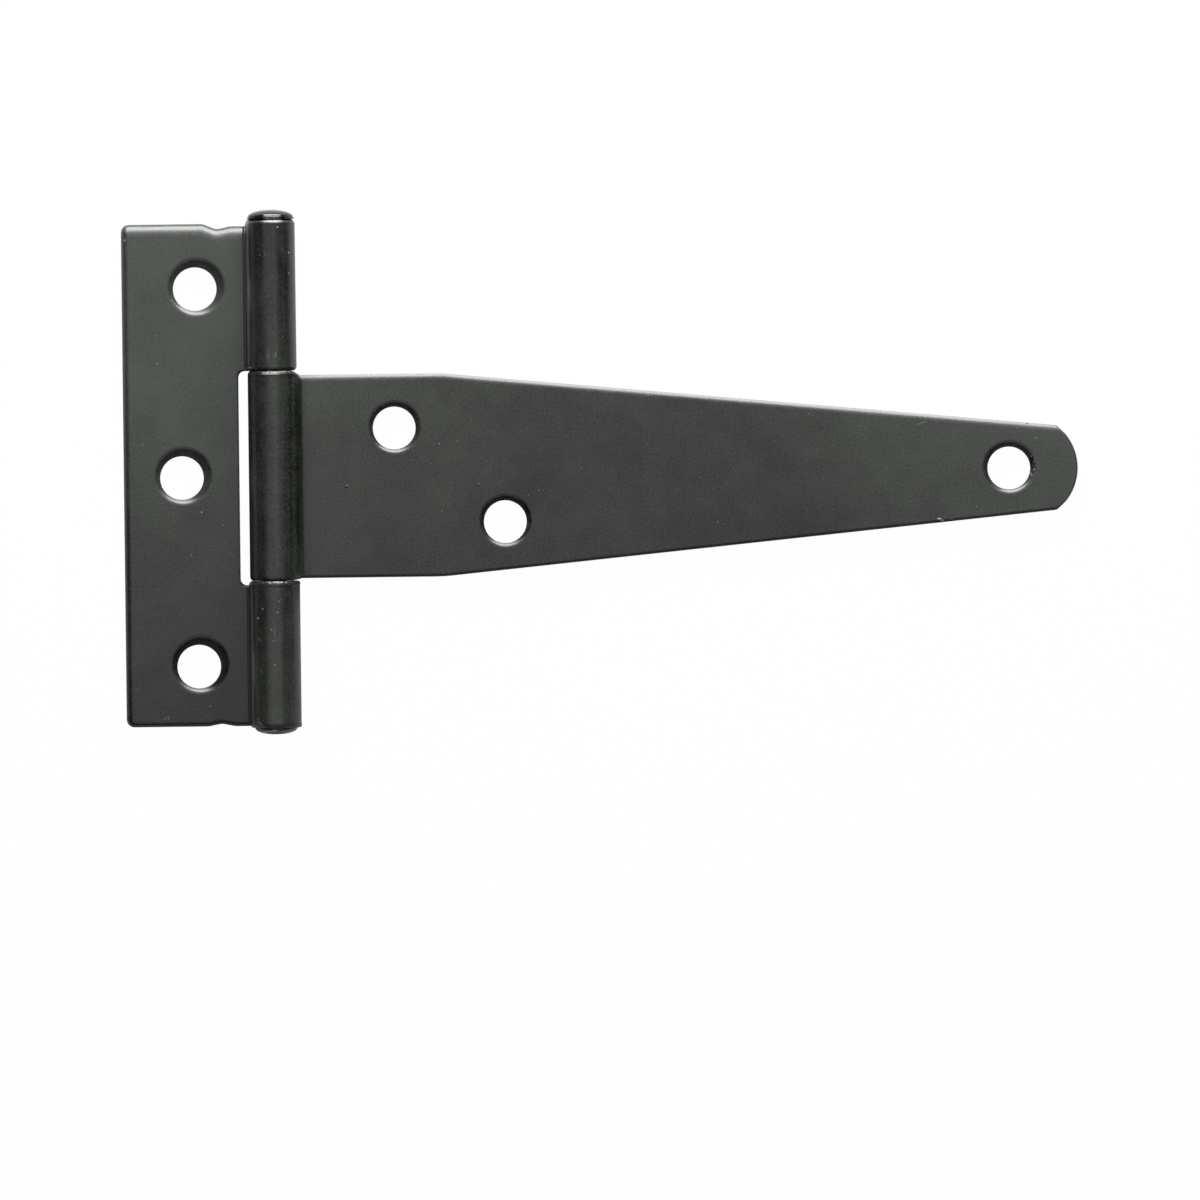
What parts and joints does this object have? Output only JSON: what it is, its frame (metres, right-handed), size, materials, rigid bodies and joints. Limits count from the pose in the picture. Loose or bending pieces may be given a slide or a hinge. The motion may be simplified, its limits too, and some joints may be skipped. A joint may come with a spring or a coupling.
{
  "type": "tee hinge",
  "caption": "Light tee hinge: a rectangular cross leaf and a long tapered strap, rolled round a riveted pin, both with countersunk screw holes.",
  "frame": {"origin": "on the plane of the flat backs, straight below the pin's axis, at the middle of the strap's width", "axes": "+X along the strap to its tip, +Y along the pin to its taller head, +Z out of the front, where the barrel stands"},
  "size_m": [0.1206, 0.0662, 0.0062],
  "materials": {
    "black_coating": "satin black coating on pressed steel, with softened edges",
    "pin_coating": "thin satin black coating on the riveted pin heads"
  },
  "bodies": {
    "frame_side": {"cross_leaf": "black_coating", "hinge_pin": "pin_coating"},
    "strap_side": {"strap_leaf": "black_coating"}
  },
  "joints": [
    {"name": "hinge_swing", "type": "hinge", "parent": "frame_side", "child": "strap_side", "pos_m": [0, 0, 0.0031], "axis": [0, -1, 0], "range_deg": [-106, 188]}
  ]
}
